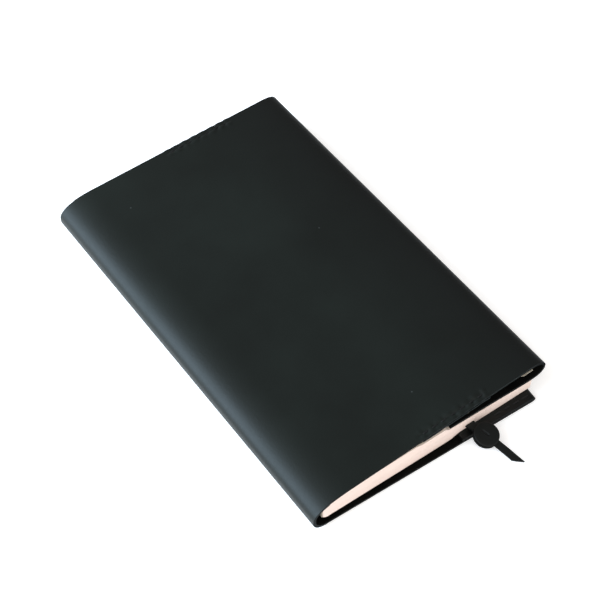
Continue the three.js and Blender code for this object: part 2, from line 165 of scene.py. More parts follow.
class Nodes:
    """Builds a material's node tree on Object coordinates."""

    def __init__(self, name):
        self.material = bpy.data.materials.new(name)
        self.material.use_nodes = True
        self.tree = self.material.node_tree
        self.shader = self.tree.nodes["Principled BSDF"]
        self.coordinates = self.tree.nodes.new("ShaderNodeTexCoord").outputs["Object"]

    def add(self, kind, inputs=None, **options):
        node = self.tree.nodes.new(kind)
        for key, value in options.items():
            setattr(node, key, value)
        for key, value in (inputs or {}).items():
            self.feed(node.inputs[key], value)
        return node

    def feed(self, socket, value):
        if isinstance(value, bpy.types.NodeSocket):
            self.tree.links.new(value, socket)
        else:
            socket.default_value = value

    def stretched(self, scale, turn=0.0):
        """Object coordinates, turned about Z and stretched."""
        inputs = {"Vector": self.coordinates, "Rotation": (0.0, 0.0, turn), "Scale": scale}
        return self.add("ShaderNodeMapping", inputs).outputs["Vector"]

    def noise(self, vector, scale, detail=3.0, roughness=0.5):
        inputs = {"Vector": vector, "Scale": scale, "Detail": detail, "Roughness": roughness}
        return self.add("ShaderNodeTexNoise", inputs).outputs["Fac"]

    def cells(self, scale):
        return self.add("ShaderNodeTexVoronoi", {"Vector": self.coordinates, "Scale": scale}).outputs["Distance"]

    def map(self, value, low, high, to_low=0.0, to_high=1.0):
        inputs = {"Value": value, "From Min": low, "From Max": high, "To Min": to_low, "To Max": to_high}
        return self.add("ShaderNodeMapRange", inputs).outputs["Result"]

    def math(self, operation, first, second=0.0):
        return self.add("ShaderNodeMath", {0: first, 1: second}, operation=operation).outputs["Value"]

    def mix(self, factor, first, second):
        node = self.add("ShaderNodeMix", data_type="RGBA")
        self.feed(node.inputs[0], factor)
        self.feed(node.inputs[6], first)
        self.feed(node.inputs[7], second)
        return node.outputs[2]

    def bump(self, height, distance, strength):
        inputs = {"Height": height, "Distance": distance, "Strength": strength}
        return self.add("ShaderNodeBump", inputs).outputs["Normal"]

    def axes(self):
        """The Object coordinates taken apart into X, Y and Z."""
        return self.add("ShaderNodeSeparateXYZ", {"Vector": self.coordinates}).outputs

    def set(self, **sockets):
        for key, value in sockets.items():
            self.feed(self.shader.inputs[key.replace("_", " ")], value)


def rgba(colour_value, factor=1.0):
    return tuple(min(1.0, channel * factor) for channel in colour_value) + (1.0,)


def smooth_leather(name, base):
    """Black leather with a fine closed grain, faint cloudiness and a few dust specks; darker near the fold, where
    shade is painted, and past the tail edge.
    """
    n = Nodes(name)
    cloud = n.noise(n.coordinates, 28.0, 3.0)
    fine = n.noise(n.coordinates, 900.0, 4.0, 0.6)
    pores = n.cells(1400.0)
    speck = n.map(n.cells(62.0), 0.026, 0.012)
    tone = n.mix(n.map(cloud, 0.3, 0.7), rgba(base, 0.9), rgba(base, 1.35))
    at = n.axes()
    # Painted shade towards the front's fold; the same darkening is applied to leather past the tail edge.
    toward_fold = n.map(at["X"], 0.005, 0.058)
    past_tail = n.map(at["Y"], -0.0925, -0.0935)
    tone = n.mix(n.math("MAXIMUM", toward_fold, past_tail), tone, rgba(base, 0.3))
    dusted = n.mix(n.math("MULTIPLY", speck, 0.3), tone, (0.14, 0.15, 0.15, 1.0))
    rough = n.map(n.math("ADD", cloud, n.math("MULTIPLY", fine, 0.6)), 0.4, 1.3, 0.43, 0.56)
    grain = n.math("ADD", n.math("MULTIPLY", pores, 0.6), fine)
    n.set(Base_Color=dusted, Roughness=rough, Specular_IOR_Level=0.27)
    n.set(Normal=n.bump(grain, 0.00005, 0.55))
    return n.material


def flesh_leather(name, base):
    """The rough flesh side, with a short nap."""
    n = Nodes(name)
    nap = n.noise(n.coordinates, 1100.0, 5.0, 0.7)
    patch = n.noise(n.coordinates, 90.0, 2.0)
    n.set(Base_Color=n.mix(n.map(patch, 0.3, 0.7), rgba(base, 0.8), rgba(base, 1.5)))
    n.set(Roughness=n.map(nap, 0.3, 0.7, 0.85, 0.97), Specular_IOR_Level=0.05)
    n.set(Normal=n.bump(nap, 0.0001, 0.7))
    return n.material


def cut_leather(name, base, highlit_everywhere=False):
    """A cut edge: fibres showing, with a painted highlight at the front's rim, on its fold and round the spine.
    """
    n = Nodes(name)
    highlit_tone = settings().finish.worn_edge
    fibre = n.noise(n.stretched((1.0, 1.0, 3.0)), 900.0, 4.0, 0.6)
    patch = n.noise(n.coordinates, 130.0, 3.0)
    at = n.axes()
    # Painted highlight: the top corner of the front's rim, the fold's edge and the spine's ring are painted
    # lighter.
    rim = n.math("MULTIPLY", n.map(at["X"], -0.008, 0.006), n.map(at["Z"], 0.0148, 0.0152))
    nose = n.math("MULTIPLY", n.map(at["X"], 0.052, 0.055), n.map(at["Z"], 0.0105, 0.0125, 0.0, 0.1))
    spine = n.math("MULTIPLY", n.map(at["X"], -0.0525, -0.0545), 0.35)
    highlit_mask = n.math("MAXIMUM", n.math("MAXIMUM", rim, nose), spine)
    tone = n.mix(1.0 if highlit_everywhere else highlit_mask, rgba(base), rgba(highlit_tone))
    n.set(Base_Color=n.mix(n.map(patch, 0.3, 0.7), tone, n.mix(0.35, tone, rgba(highlit_tone, 0.6))))
    n.set(Roughness=n.map(fibre, 0.3, 0.7, 0.6, 0.8), Specular_IOR_Level=0.06)
    n.set(Normal=n.bump(fibre, 0.00008, 0.5))
    return n.material


def highlit_cut_leather(name, base):
    """A cut edge with the painted highlight all along."""
    return cut_leather(name, base, True)


def waxed_thread(name, base):
    """Twisted black thread."""
    n = Nodes(name)
    twist = n.noise(n.stretched((1.0, 0.35, 1.0), 0.7), 2600.0, 2.0)
    n.set(Base_Color=n.mix(twist, rgba(base, 0.7), rgba(base, 1.6)))
    n.set(Roughness=n.map(twist, 0.3, 0.7, 0.45, 0.65), Specular_IOR_Level=0.35)
    n.set(Normal=n.bump(twist, 0.00012, 0.8))
    return n.material


def page_edges(name, base):
    """A block of pages: fine lines where leaf lies on leaf, on every edge of the block."""
    n = Nodes(name)
    leaves = n.noise(n.stretched((6.0, 6.0, 5200.0)), 1.0, 2.0, 0.8)
    sections = n.noise(n.stretched((3.0, 3.0, 900.0)), 1.0, 1.0)
    shade = n.math("ADD", n.math("MULTIPLY", leaves, 0.65), n.math("MULTIPLY", sections, 0.35))
    n.set(Base_Color=n.mix(n.map(shade, 0.32, 0.68), rgba(base, 0.88), rgba(base, 1.04)))
    n.set(Roughness=n.map(shade, 0.3, 0.7, 0.85, 0.95), Specular_IOR_Level=0.2)
    n.set(Normal=n.bump(leaves, 0.00006, 0.5))
    return n.material


def page_face(name, base):
    """The face of a leaf: plain uncoated paper."""
    n = Nodes(name)
    fibres = n.noise(n.coordinates, 1500.0, 3.0, 0.6)
    n.set(Base_Color=n.mix(n.map(fibres, 0.3, 0.7), rgba(base, 0.985), rgba(base, 1.01)))
    n.set(Roughness=n.map(fibres, 0.3, 0.7, 0.85, 0.95), Specular_IOR_Level=0.2)
    return n.material


def cover_card(name, base):
    """Uncoated card with short fibres in it."""
    n = Nodes(name)
    fibres = n.noise(n.stretched((1.0, 4.0, 1.0), 0.4), 700.0, 4.0, 0.7)
    n.set(Base_Color=n.mix(n.map(fibres, 0.3, 0.7), rgba(base, 0.88), rgba(base, 1.08)))
    n.set(Roughness=n.map(fibres, 0.3, 0.7, 0.75, 0.9), Specular_IOR_Level=0.25)
    n.set(Normal=n.bump(fibres, 0.00004, 0.4))
    return n.material


def plain_table(name, base):
    """A plain pale table top, lit a little from within so that it stays bright beside the cover."""
    n = Nodes(name)
    n.set(Emission_Color=(1.0, 0.99, 0.985, 1.0), Emission_Strength=0.4)
    n.set(Base_Color=rgba(base), Roughness=0.9, Specular_IOR_Level=0.1)
    return n.material


MAKERS = {
    "leather": smooth_leather,
    "flesh": flesh_leather,
    "cut_edge": cut_leather,
    "worn_edge": highlit_cut_leather,
    "page": page_face,
    "thread": waxed_thread,
    "card": cover_card,
    "paper": page_edges,
    "floor": plain_table,
}


def finish(key):
    """The named finish's material, made once."""
    found = bpy.data.materials.get("finish_" + key)
    return found or MAKERS[key]("finish_" + key, getattr(settings().finish, key))


LEATHER_SLOTS = ("leather", "flesh", "cut_edge")

# ---- Modelling helpers --------------------------------------------------------------------------------


SMOOTH_ANGLE = math.radians(35.0)  # edges sharper than this stay sharp


def clamp(value):
    """The value, held between 0 and 1."""
    return min(1.0, max(0.0, value))


def eased(share):
    """A share from 0 to 1 with a soft start and end."""
    return share * share * (3.0 - 2.0 * share)


def bell(distance, width):
    """1 at no distance, falling away smoothly over a width."""
    return math.exp(-((distance / width) ** 2))


def start():
    """Leaves nothing selected, in object mode."""
    if bpy.context.object and bpy.context.object.mode != "OBJECT":
        bpy.ops.object.mode_set(mode="OBJECT")
    bpy.ops.object.select_all(action="DESELECT")


def trace(name, points):
    """A line of edges through points, left in edit mode with its last point selected."""
    start()
    bpy.ops.mesh.primitive_plane_add(size=MM)
    bpy.context.object.name = name
    bpy.ops.object.mode_set(mode="EDIT")
    bpy.ops.mesh.select_mode(type="VERT")
    bpy.ops.mesh.select_all(action="SELECT")
    bpy.ops.mesh.merge(type="CENTER")
    bpy.ops.transform.translate(value=Vector(points[0]))
    for here, there in zip(points, points[1:]):
        step = Vector(there) - Vector(here)
        bpy.ops.mesh.extrude_vertices_move(TRANSFORM_OT_translate={"value": step})
    return bpy.context.object


def extrude(steps):
    """Extrudes what is selected through each step in turn."""
    for step in steps:
        bpy.ops.mesh.extrude_region_move(TRANSFORM_OT_translate={"value": Vector(step)})


def done(piece, materials, smooth):
    """Back to object mode, with materials and smooth shading."""
    bpy.ops.object.mode_set(mode="OBJECT")
    for key in materials:
        piece.data.materials.append(finish(key))
    bpy.ops.object.transform_apply(location=True, rotation=True, scale=True)
    bpy.ops.object.shade_smooth_by_angle(angle=smooth)
    return piece


def solid(name, outline, steps, materials):
    """A closed outline, filled and extruded through steps."""
    piece = trace(name, outline)
    bpy.ops.mesh.select_all(action="SELECT")
    bpy.ops.mesh.edge_face_add()
    extrude(steps)
    bpy.ops.mesh.select_all(action="SELECT")
    bpy.ops.mesh.normals_make_consistent(inside=False)
    return done(piece, materials, SMOOTH_ANGLE)


def sheet_surface(name, line, steps, outward):
    """A line extruded through steps, its faces turned to face outward at the first of them."""
    piece = trace(name, line)
    bpy.ops.mesh.select_all(action="SELECT")
    extrude(steps)
    bpy.ops.object.mode_set(mode="OBJECT")
    begin = Vector(line[0])
    first = min(piece.data.polygons, key=lambda polygon: (polygon.center - begin).length)
    if first.normal.dot(Vector(outward)) < 0.0:
        bpy.ops.object.mode_set(mode="EDIT")
        bpy.ops.mesh.select_all(action="SELECT")
        bpy.ops.mesh.flip_normals()
        bpy.ops.object.mode_set(mode="OBJECT")
    return piece


def thicken(piece, thickness, materials):
    """Gives a sheet its thickness, with the second material behind and the third on its edges."""
    for key in materials:
        piece.data.materials.append(finish(key))
    wall = piece.modifiers.new("wall", "SOLIDIFY")
    wall.thickness = thickness
    wall.offset = 0.0
    wall.use_even_offset = True
    wall.material_offset = 1
    wall.material_offset_rim = 2
    bpy.ops.object.modifier_apply(modifier=wall.name)
    bpy.ops.object.shade_smooth_by_angle(angle=SMOOTH_ANGLE)
    return piece


def reshape(piece, move):
    """Moves each point of a piece by a function of its place."""
    for vertex in piece.data.vertices:
        vertex.co = move(vertex.co.copy())
    piece.data.update()


def cut_across(places, axis):
    """Cuts right through the piece that is in edit mode, at places along an axis."""
    for where in places:
        bpy.ops.mesh.select_all(action="SELECT")
        bpy.ops.mesh.bisect(plane_co=Vector(axis) * where, plane_no=axis)


def join(pieces, name):
    """Joins pieces into one object."""
    start()
    for piece in pieces:
        piece.select_set(True)
    bpy.context.view_layer.objects.active = pieces[0]
    bpy.ops.object.join()
    pieces[0].name = name
    return pieces[0]


def spaced(low, high, step):
    """Numbers from low to high, about step apart."""
    count = max(1, round(abs(high - low) / step))
    return [low + (high - low) * index / count for index in range(count + 1)]


def arc(centre, radius_x, radius_z, begin, end, count):
    """Points of an elliptical arc in X and Z, by angle from +X in degrees."""
    angles = [math.radians(begin + (end - begin) * i / count) for i in range(count + 1)]
    return [(centre[0] + radius_x * math.cos(a), centre[1] + radius_z * math.sin(a)) for a in angles]


def offset_line(line, distance):
    """A line in X and Z moved sideways, to the right of its direction."""
    moved = []
    for index, here in enumerate(line):
        before = line[max(0, index - 1)]
        after = line[min(len(line) - 1, index + 1)]
        along = Vector((after[0] - before[0], after[1] - before[1])).normalized()
        moved.append((here[0] + along.y * distance, here[1] - along.x * distance))
    return moved


def rows(total):
    """Row steps along a length: close together at both ends, where the leather is stitched."""
    near = [0.45 * MM] * 11
    gaps = [1.2 * MM, 2.5 * MM, 5.0 * MM]
    middle = total - 2.0 * (sum(near) + sum(gaps))
    count = max(4, round(middle / (9.0 * MM)))
    return near + gaps + [middle / count] * count + gaps[::-1] + near


def racked(x, y):
    """The Y at x of a line across the racked notebook that crosses the middle of its width at y."""
    book = settings().notebook
    return y + book.rack * (x - (book.spine + book.fore_edge) / 2.0)


# ---- Shape of the leather ----------------------------------------------------------------------------

SHOULDER = 2.25  # how square the shoulder is: 2 is an ellipse


def front_height(x):
    """Height of the front's outside at x, curving down to the spine."""
    size = settings().leather
    middle = size.height / 2.0
    reach = clamp((size.spine + size.shoulder - x) / size.shoulder)
    share = (1.0 - reach**SHOULDER) ** (1.0 / SHOULDER)
    return middle + (size.height - middle) * share


def under_front(x, gap=0.0):
    """Height of the leather's inside at x, less a gap."""
    return front_height(x) - settings().leather.thickness - gap


def spine_outside():
    """Outside of the spine's leather, from the back seam round to the front seam."""
    size = settings().leather
    radius = 6.5 * MM
    middle = size.height / 2.0
    low = arc((size.spine + radius, radius), radius, radius, 270.0, 180.0, 22)
    high = []
    for degrees in spaced(0.0, 90.0, 2.5):
        turn = math.radians(degrees)
        x = size.spine + size.shoulder * (1.0 - math.cos(turn) ** (2.0 / SHOULDER))
        if x < size.seam - 0.4 * MM:
            high.append((x, middle + (size.height - middle) * math.sin(turn) ** (2.0 / SHOULDER)))
    seam = [(x, front_height(x)) for x in spaced(size.seam - 0.35 * MM, size.seam, 0.18 * MM)]
    return [(size.seam, 0.0)] + low + high + seam


def front_outside():
    """Outside of the front's leather: over the front, round the loose fold and in along the flap."""
    size = settings().leather
    fold_x = 48.0 * MM
    half_up = 2.9 * MM  # from the fold's outermost line up to the top of the front
    half_down = 3.55 * MM
    top = [(x, front_height(x)) for x in spaced(size.seam, fold_x, 0.6 * MM)]
    nose = []
    for degrees in spaced(90.0, -90.0, 5.0)[1:]:
        turn = math.radians(degrees)
        power, drop = (0.62, half_up) if degrees >= 0.0 else (0.74, half_down)
        x = fold_x + (size.nose - fold_x) * math.cos(turn) ** power
        nose.append((x, size.height - half_up + drop * math.sin(turn)))
    low_x, low_z = nose[-1]
    end_z = 10.85 * MM
    flap = []
    for x in spaced(low_x, size.front_flap_end, 2.5 * MM)[1:]:
        share = (low_x - x) / (low_x - size.front_flap_end)
        flap.append((x, low_z + (end_z - low_z) * share))
    return top + nose + flap


def front_tail(x, z):
    """The tail edge's Y: straight across the front, drawn tailwards round the fold to the flap."""
    size = settings().leather
    share = eased(clamp((size.height - z) / (6.4 * MM)))
    straight = -size.length / 2.0
    return straight + share * (racked(x, settings().notebook.tail - 0.05 * MM) - straight)


def unevenness(x, y):
    """Slight unevenness of a leather panel lying on card."""
    return 0.10 * MM * noise.noise(Vector((x * 22.0, y * 16.0, 3.0)))


# Where the first stitch of the band's tail row and head row starts, in X and Y
BAND_ROWS = ((-3.9 * MM, -89.3 * MM), (-1.5 * MM, 89.6 * MM))

BACK_FOLD_X = 47.7 * MM  # the back's fold line, at its tail corner
BACK_CORNER_Y = -97.45 * MM
FLAP_HEIGHT = 2.8 * MM  # middle of the back flap's leather
FLAP_COUNTS = {"tail": 4, "head": 7}  # stitches in the back flap's rows
FLAP_ROW_IN = 2.2 * MM  # from the tail or head edge to the row
FLAP_ROW_START = 0.6 * MM  # from the fold line to the first stitch


def pucker(x, y):
    """How the thread pulls the leather down at each stitch and the leather rises between them."""
    size = settings().stitches
    first, row = BAND_ROWS[0] if y < 0.0 else BAND_ROWS[1]
    across = abs(y - row)
    run_length = (size.count - 1) * size.pitch + size.length
    along = x - first
    reach = 2.5 * MM  # how far the pull is felt past the row's ends
    if across > 3.2 * MM or along < -reach or along > run_length + reach:
        return 0.0
    fade = min(1.0, (along + reach) / (2.0 * MM), (run_length + reach - along) / (2.0 * MM))
    phase = (along - size.length / 2.0) / size.pitch * 2.0 * math.pi
    trough = -0.36 * MM * bell(across, 0.65 * MM) * (0.7 + 0.3 * math.cos(phase))
    hump = 0.24 * MM * bell(across - 1.3 * MM, 0.85 * MM) * (0.5 - 0.5 * math.cos(phase))
    rough = 0.34 * MM * noise.noise(Vector((x * 520.0, y * 450.0, 8.0))) * bell(across, 2.0 * MM)
    return fade * (trough + hump + rough)


def back_place(u, v, z):
    """A point of the back half: u inwards from its fold line, v from its tail edge."""
    turn = settings().leather.back_skew
    inwards = Vector((-math.cos(turn), math.sin(turn), 0.0))
    headwards = Vector((math.sin(turn), math.cos(turn), 0.0))
    return Vector((BACK_FOLD_X, BACK_CORNER_Y, z)) + inwards * u + headwards * v


def back_coordinates(point):
    """The reverse of back_place: how far a point is inwards from the fold line and from the tail edge."""
    turn = settings().leather.back_skew
    away = point - back_place(0.0, 0.0, point.z)
    inwards = -away.x * math.cos(turn) + away.y * math.sin(turn)
    headwards = away.x * math.sin(turn) + away.y * math.cos(turn)
    return inwards, headwards


def flap_press(u, v):
    """How far the back flap is drawn down: sewn flat at tail and head, puckered between the stitches."""
    size = settings().stitches
    length_all = settings().leather.length
    for end, count in ((v, FLAP_COUNTS["tail"]), (length_all - v, FLAP_COUNTS["head"])):
        if end < 14.0 * MM:
            pressed = 0.68 * MM * bell(max(0.0, end - 1.0 * MM), 4.5 * MM)
            across = abs(end - FLAP_ROW_IN)
            along = u - FLAP_ROW_START
            if across < 2.6 * MM and -2.0 * MM < along < count * size.pitch:
                phase = (along - size.length / 2.0) / size.pitch * 2.0 * math.pi
                dip = 0.088 * MM * bell(across, 0.8 * MM) * (0.7 + 0.3 * math.cos(phase))
                rise = 0.20 * MM * bell(across - 1.4 * MM, 0.7 * MM) * (0.5 - 0.5 * math.cos(phase))
                lump = 0.10 * MM * noise.noise(Vector((u * 500.0, v * 500.0, 2.0)))
                pressed += min(0.0, 0.1 * MM - rise) + dip + lump
            return max(-0.2 * MM, min(0.78 * MM, pressed))
    return 0.0


# ---- Operators ---------------------------------------------------------------------------------------


class NOTEBOOK_OT_back_leather(bpy.types.Operator):
    """Build the leather of the back: the panel, its tight fold and the flap sewn over the notebook's card"""

    bl_idname = "notebook.back_leather"
    bl_label = "Back Leather"

    def execute(self, context):
        size = settings().leather
        wall = size.thickness
        turn = size.back_skew
        reach = (BACK_FOLD_X - size.seam) / math.cos(turn)
        middle = wall / 2.0
        fold = arc((0.0, 1.725 * MM), 1.075 * MM, 1.075 * MM, -90.0, 90.0, 12)
        panel = [(u, middle) for u in spaced(reach, 0.0, 4.0 * MM)]
        flap = [(u, FLAP_HEIGHT) for u in spaced(0.0, size.back_flap_width, 2.0 * MM)]
        line = panel + [(-x, z) for x, z in fold[1:-1]] + flap
        tail = [back_place(u, 0.0, z) for u, z in line]
        along = Vector((math.sin(turn), math.cos(turn), 0.0))
        steps = [along * step for step in rows(size.length)]
        piece = sheet_surface("back_leather", tail, steps, (0.0, 0.0, -1.0))

        def settle(place_now):
            """Keeps the panel's spine side on the seam, and presses the flap down at tail and head."""
            u, v = back_coordinates(place_now)
            if place_now.z < 0.9 * MM and u > 1.0 * MM:
                at_seam = (BACK_FOLD_X + v * math.sin(turn) - size.seam) / math.cos(turn)
                return back_place(u * at_seam / reach, v, place_now.z)
            share = min(1.0, (place_now.z - middle) / (2.1 * MM))
            return place_now - Vector((0.0, 0.0, flap_press(u, v) * share))

        reshape(piece, settle)
        thicken(piece, wall, LEATHER_SLOTS)
        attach(piece, "back")
        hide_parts("back_panel", "back_fold", "back_flap")
        return {"FINISHED"}


class NOTEBOOK_OT_spine_leather(bpy.types.Operator):
    """Build the leather round the spine"""

    bl_idname = "notebook.spine_leather"
    bl_label = "Spine Leather"

    def execute(self, context):
        size = settings().leather
        line = offset_line(spine_outside(), size.thickness / 2.0)
        line[0] = (size.seam, size.thickness / 2.0)
        straight = -size.length / 2.0
        back_seam = BACK_CORNER_Y + (BACK_FOLD_X - size.seam) * math.tan(size.back_skew)
        tail = []
        for x, z in line:
            low = clamp(1.0 - z / (6.0 * MM))
            tail.append((x, straight + low * (back_seam - straight), z))
        steps = [(0.0, step, 0.0) for step in rows(size.length)]
        piece = sheet_surface("spine_leather", tail, steps, (0.0, 0.0, -1.0))

        def relax(place_now):
            above = max(0.0, place_now.z - size.height / 2.0) / (size.height / 2.0)
            return place_now + Vector((0.0, 0.0, unevenness(place_now.x, place_now.y) * above))

        reshape(piece, relax)
        thicken(piece, size.thickness, LEATHER_SLOTS)
        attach(piece, "back")
        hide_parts("spine_wrap")
        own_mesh(piece)
        return {"FINISHED"}


class NOTEBOOK_OT_front_leather(bpy.types.Operator):
    """Build the leather of the front: the panel, its loose teardrop fold and the flap inside"""

    bl_idname = "notebook.front_leather"
    bl_label = "Front Leather"

    def execute(self, context):
        size = settings().leather
        line = offset_line(front_outside(), size.thickness / 2.0)
        tail = [(x, front_tail(x, z), z) for x, z in line]
        steps = [(0.0, step, 0.0) for step in rows(size.length)]
        piece = sheet_surface("front_leather", tail, steps, (0.0, 0.0, 1.0))

        def settle(place_now):
            if place_now.z < 13.5 * MM and place_now.x > -40.0 * MM:
                return place_now
            ease = clamp((56.0 * MM - place_now.x) / (8.0 * MM))
            lift = unevenness(place_now.x, place_now.y) * ease + pucker(place_now.x, place_now.y)
            return place_now + Vector((0.0, 0.0, lift))

        reshape(piece, settle)
        thicken(piece, size.thickness, LEATHER_SLOTS)
        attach(piece, "front")
        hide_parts("front_panel", "front_fold", "front_flap")
        return {"FINISHED"}


class NOTEBOOK_OT_retaining_band(bpy.types.Operator):
    """Build the band sewn across the inside of the front"""

    bl_idname = "notebook.retaining_band"
    bl_label = "Retaining Band"

    def execute(self, context):
        line = []
        for x in spaced(-4.6 * MM, 29.0 * MM, 1.4 * MM):
            wave = 0.12 * MM * noise.noise(Vector((x * 260.0, 0.0, 4.0)))
            line.append((x, -91.45 * MM + wave, 13.55 * MM))
        steps = [(0.012 * step, step, 0.0) for step in rows(182.9 * MM)]
        piece = sheet_surface("retaining_band", line, steps, (0.0, 0.0, -1.0))
        # The band's cut edges carry the painted highlight colour all along.
        thicken(piece, 0.85 * MM, ("flesh", "flesh", "worn_edge"))
        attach(piece, "front")
        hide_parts("retaining_band")
        return {"FINISHED"}


def stitch(at, turn, low):
    """One stitch: a short rounded thread whose ends dip into the leather."""
    size = settings().stitches
    start()
    lying = (0.0, math.pi / 2.0, 0.0)
    bpy.ops.mesh.primitive_cylinder_add(
        vertices=10, radius=size.thread / 2.0, depth=size.length, end_fill_type="NGON", rotation=lying
    )
    piece = bpy.context.object
    bpy.ops.object.transform_apply(location=True, rotation=True, scale=True)
    bpy.ops.object.mode_set(mode="EDIT")
    cut_across([share * size.length for share in spaced(-0.44, 0.44, 0.11)], (1.0, 0.0, 0.0))
    bpy.ops.object.mode_set(mode="OBJECT")

    def bow(place_now):
        share = abs(place_now.x) / (size.length / 2.0)
        slim = 1.0 - 0.35 * share**4
        dip = -0.75 * size.thread * share**4
        return Vector((place_now.x, place_now.y * slim, place_now.z * slim + dip))

    reshape(piece, bow)
    piece.location = Vector(at) + Vector((0.0, 0.0, low))
    piece.rotation_euler = (0.0, 0.0, turn)
    return piece


def stitch_row(name, places, turn, low, body, node):
    """A row of stitches as one piece."""
    pieces = [stitch(at, turn, low) for at in places]
    row = join(pieces, name)
    done(row, ("thread",), math.radians(50.0))
    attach(row, body)
    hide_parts(node)


class NOTEBOOK_OT_stitches(bpy.types.Operator):
    """Build the rows of stitches that hold the band and the back flap"""

    bl_idname = "notebook.stitches"
    bl_label = "Stitches"

    def execute(self, context):
        size = settings().stitches
        leather = settings().leather
        for end, (first, y) in zip(("tail", "head"), BAND_ROWS):
            places = []
            for index in range(size.count):
                x = first + index * size.pitch + size.length / 2.0
                places.append((x, y, leather.height + pucker(x, y) + unevenness(x, y)))
            stitch_row("band_stitches_" + end, places, 0.0, 0.16 * MM, "front", "band_stitches_" + end)
        flap_top = FLAP_HEIGHT + leather.thickness / 2.0
        for end, v in (("tail", FLAP_ROW_IN), ("head", leather.length - FLAP_ROW_IN)):
            places = []
            for index in range(FLAP_COUNTS[end]):
                u = FLAP_ROW_START + size.length / 2.0 + index * size.pitch
                places.append(back_place(u, v, flap_top - flap_press(u, v)))
            name = "back_flap_stitches_" + end
            stitch_row(name, places, -leather.back_skew, 0.2 * MM, "back", name)
        return {"FINISHED"}


def notebook_line(x):
    """Height of the card cover's upper face at x: against the leather, and down under the band."""
    resting = under_front(x, 0.12 * MM)
    into = clamp((x + 9.0 * MM) / (4.0 * MM))
    out = clamp((36.0 * MM - x) / (4.5 * MM))
    under_band = 12.95 * MM
    return resting + (under_band - resting) * eased(min(into, out))


def card_tail(x):
    """The front card's tail edge: it shows past the leather only beside the fold."""
    past_band = clamp((x - 25.0 * MM) / (2.0 * MM))
    beside_fold = clamp((x - 43.0 * MM) / (3.0 * MM))
    return (-91.2 + past_band * 1.1 - beside_fold * 1.85) * MM


class NOTEBOOK_OT_card_cover(bpy.types.Operator):
    """Build the notebook's card cover: front, spine and back"""

    bl_idname = "notebook.card_cover"
    bl_label = "Card Cover"

    def execute(self, context):
        book = settings().notebook
        card = book.card
        places = spaced(-51.3 * MM, 50.8 * MM, 1.6 * MM)
        line = [(x, card_tail(x), notebook_line(x) - card / 2.0) for x in places]
        steps = [(0.0, book.length / 12.0, 0.0)] * 12
        front = sheet_surface("front_card", line, steps, (0.0, 0.0, 1.0))
        thicken(front, card, ("card", "card", "card"))
        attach(front, "front")
        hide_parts("notebook_front_cover")

        spine_line = [(-52.4 * MM, 4.5 * MM)]
        spine_line += [(-52.5 * MM, z) for z in spaced(5.2 * MM, 10.6 * MM, 1.2 * MM)]
        spine_line += [(-52.3 * MM, 11.4 * MM), (-51.9 * MM, 12.0 * MM)]
        points = [(x, racked(x, book.tail + 0.4 * MM), z) for x, z in spine_line]
        spine = sheet_surface("card_spine", points, steps, (0.0, 0.0, -1.0))
        thicken(spine, card, ("card", "card", "card"))
        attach(spine, "back")
        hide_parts("notebook_spine")
        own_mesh(spine)

        places = spaced(-51.0 * MM, 46.6 * MM, 4.0 * MM)
        back_line = [(x, racked(x, book.tail + 1.6 * MM), 1.62 * MM) for x in places]
        back = sheet_surface("back_card", back_line, steps, (0.0, 0.0, -1.0))
        thicken(back, card, ("card", "card", "card"))
        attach(back, "back")
        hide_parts("notebook_back_cover")
        return {"FINISHED"}


def parting(x, offset):
    """Height of the parting between the two halves of the pages."""
    book = settings().notebook
    share = (x - book.spine) / (book.fore_edge - book.spine)
    return (8.0 - 1.1 * share) * MM + offset


def flap_under(x):
    """Height of the front flap's underside at x."""
    flap = [point for point in front_outside() if point[1] < 11.2 * MM]
    (x0, z0), (x1, z1) = sorted(flap, key=lambda point: abs(point[0] - x))[:2]
    if abs(x1 - x0) < 1e-9:
        return z0
    return z0 + (z1 - z0) * (x - x0) / (x1 - x0)


def page_block(name, low, high, nodes, body):
    """Pages between two lines of heights, as one block racked at tail and head, with plain faces."""
    book = settings().notebook
    outline = [(x, racked(x, book.tail), z) for x, z in low + high[::-1]]
    steps = [(0.0, book.length / 10.0, 0.0)] * 10
    piece = solid(name, outline, steps, ("paper",))
    piece.data.materials.append(finish("page"))
    for polygon in piece.data.polygons:
        if abs(polygon.normal.z) > 0.7:
            polygon.material_index = 1
    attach(piece, body)
    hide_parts(*nodes)
    return piece


class NOTEBOOK_OT_pages(bpy.types.Operator):
    """Build the pages: a lower and an upper half, and the two leaves at their parting"""

    bl_idname = "notebook.pages"
    bl_label = "Pages"

    def execute(self, context):
        book = settings().notebook
        spine = book.spine
        rounded = spine + 4.0 * MM
        across = spaced(spine, rounded, 0.5 * MM)[:-1] + spaced(rounded, book.fore_edge, 2.0 * MM)
        leaf = 0.35 * MM
        apart = leaf + 0.015 * MM
        flap_starts = 7.6 * MM

        upper_low = [(x, parting(x, apart)) for x in across]
        upper_high = []
        for x in across:
            under_card = notebook_line(x) - book.card - 0.1 * MM
            if x > flap_starts:
                under_card = min(under_card, flap_under(x) - 0.12 * MM)
            rounding = max(0.0, 1.0 - (x - spine) / (4.0 * MM))
            upper_high.append((x, under_card - 0.6 * MM * rounding**2))
        page_block("upper_pages", upper_low, upper_high, ("upper_leaves",), "front")

        lower_high = [(x, parting(x, -apart)) for x in across]
        lower_low = []
        for x in across:
            rounding = max(0.0, 1.0 - (x - spine) / (2.6 * MM))
            arch = 1.4 * MM * max(0.0, 1.0 - (x + 48.0 * MM) / (50.0 * MM))
            over_flap = clamp((x - 10.0 * MM) / (3.0 * MM))
            rise = min(arch, 1.4 * MM) + 1.6 * MM * rounding**2 + over_flap * 1.6 * MM
            lower_low.append((x, 2.05 * MM + rise))
        page_block("lower_pages", lower_low, lower_high, ("lower_leaves",), "back")

        for name, low in (("leaf_1", -0.01 * MM - leaf), ("leaf_2", 0.01 * MM)):
            under = [(x, parting(x, low)) for x in across]
            over = [(x, parting(x, low + leaf)) for x in across]
            page_block(name + "_paper", under, over, (name,), name)
        return {"FINISHED"}


